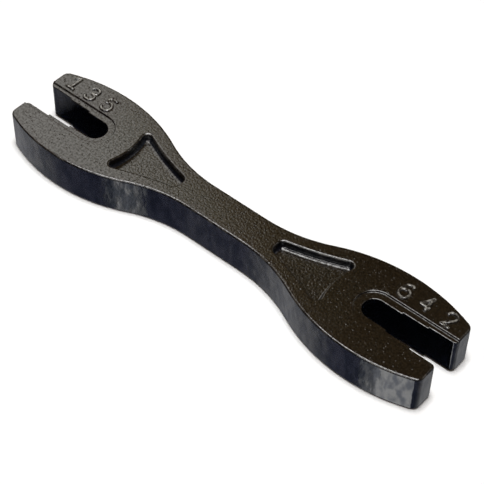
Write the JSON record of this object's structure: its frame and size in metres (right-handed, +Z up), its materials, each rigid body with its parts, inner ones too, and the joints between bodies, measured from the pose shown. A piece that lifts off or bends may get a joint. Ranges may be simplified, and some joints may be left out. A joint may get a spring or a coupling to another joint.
{
  "type": "spoke wrench",
  "caption": "Flat double-ended spoke wrench of black cast steel: a slim grip between two swelling heads, each with a stepped open slot in a sunk land and a three-cornered pocket.",
  "frame": {"origin": "under the middle of the wrench, on the plane that it rests on", "axes": "+X along the length towards the head with jaws 2, 4 and 6, +Z up out of the numbered face, +Y to the left when looking along +X from above"},
  "size_m": [0.11, 0.0232, 0.0095],
  "materials": {
    "black_steel": "satin black coat over fine cast grain"
  },
  "bodies": {
    "root": {"wrench_body": "black_steel"}
  },
  "joints": []
}
